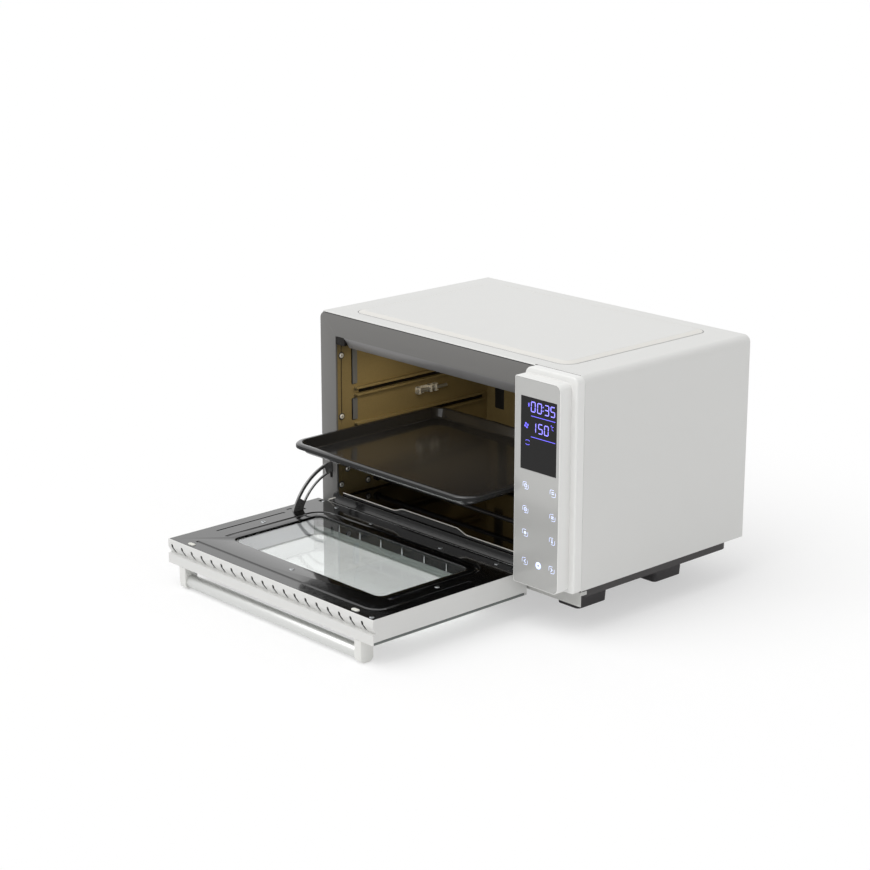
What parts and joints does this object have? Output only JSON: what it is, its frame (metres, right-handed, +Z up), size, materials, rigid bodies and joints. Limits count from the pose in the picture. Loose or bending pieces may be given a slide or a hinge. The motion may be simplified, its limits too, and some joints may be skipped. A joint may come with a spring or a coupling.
{
  "type": "mini oven",
  "caption": "Countertop oven with a drop-down glazed door, a raised control column at the right, rack guides, heating rods, a fan and a sliding baking tray.",
  "frame": {"origin": "middle of the bounding box's bottom face, on the table, with the door open and level", "axes": "+Z up, +Y from the front towards the back, +X towards the control column"},
  "size_m": [0.526, 0.6036, 0.353],
  "materials": {
    "silver_paint": "satin silver-white powder coat",
    "frame_paint": "satin dark grey",
    "skirt_paint": "satin light grey",
    "dark_steel": "dark satin",
    "foot_rubber": "matt",
    "black_plastic": "matt black",
    "cavity_coating": "bronze non-stick coating, satin",
    "heater_sheath": "heat-darkened",
    "zinc_steel": "zinc-plated",
    "bright_steel": "brushed",
    "tray_coating": "dark grey non-stick, satin",
    "white_plastic": "gloss white",
    "panel_glass": "opaque silver mirror glass",
    "black_glass": "gloss black",
    "circuit_board": "solder mask",
    "door_paint": "satin white",
    "black_enamel": "gloss black enamel",
    "pane_glass": "clear"
  },
  "bodies": {
    "cabinet": {"cabinet_cover": "silver_paint", "front_frame": "frame_paint", "front_skirt": "skirt_paint", "base_pan": "dark_steel", "back_panel": "silver_paint", "foot_front_left": "foot_rubber", "foot_front_right": "foot_rubber", "foot_rear_left": "foot_rubber", "foot_rear_right": "foot_rubber", "cord_inlet": "black_plastic", "cavity_left_wall": "cavity_coating", "cavity_right_wall": "cavity_coating", "cavity_roof": "cavity_coating", "cavity_floor": "cavity_coating", "cavity_back_wall": "cavity_coating", "lower_heater_front": "heater_sheath", "lower_heater_rear": "heater_sheath", "upper_heater_front": "heater_sheath", "upper_heater_rear": "heater_sheath", "thermostat_clip": "zinc_steel", "thermostat_bulb": "bright_steel", "crumb_tray": "black_enamel", "fan_shell": "zinc_steel", "fan_motor": "dark_steel", "control_housing": "white_plastic", "control_glass": "panel_glass", "display_window": "black_glass", "control_board": "circuit_board", "relay_board": "circuit_board", "hinge_plate_left": "zinc_steel", "hinge_plate_right": "zinc_steel", "hinge_pin_left": "zinc_steel", "hinge_pin_right": "zinc_steel"},
    "door": {"door_shell": "door_paint", "door_vent_strip": "door_paint", "door_inner_panel": "black_enamel", "door_inner_glass": "pane_glass", "door_outer_glass": "pane_glass", "door_glass_spacer": "black_plastic", "handle_bar": "bright_steel", "handle_bracket_left": "zinc_steel", "handle_bracket_right": "zinc_steel", "stay_arm_left": "dark_steel", "bumper_left": "foot_rubber", "bumper_right": "foot_rubber", "door_screw_1": "zinc_steel", "door_screw_2": "zinc_steel", "door_screw_3": "zinc_steel", "door_screw_4": "zinc_steel", "door_screw_5": "zinc_steel", "door_screw_6": "zinc_steel", "door_screw_7": "zinc_steel", "door_screw_8": "zinc_steel"},
    "tray": {"baking_tray": "tray_coating"},
    "fan_wheel": {"fan": "zinc_steel"}
  },
  "joints": [
    {"name": "door_hinge", "type": "hinge", "parent": "cabinet", "child": "door", "pos_m": [-0.048, -0.03355, 0.062], "axis": [-1, 0, 0], "range_deg": [0, 90]},
    {"name": "tray_slide", "type": "slide", "parent": "cabinet", "child": "tray", "axis": [0, 1, 0], "range_m": [0, 0.1]},
    {"name": "fan_spin", "type": "hinge", "parent": "cabinet", "child": "fan_wheel", "pos_m": [0.158, 0.12755, 0.20244], "axis": [1, 0, 0], "continuous": true}
  ],
  "couplings": [
    {"joint": "tray_slide", "follows": "door_hinge", "m_per_rad": 0.0636}
  ]
}
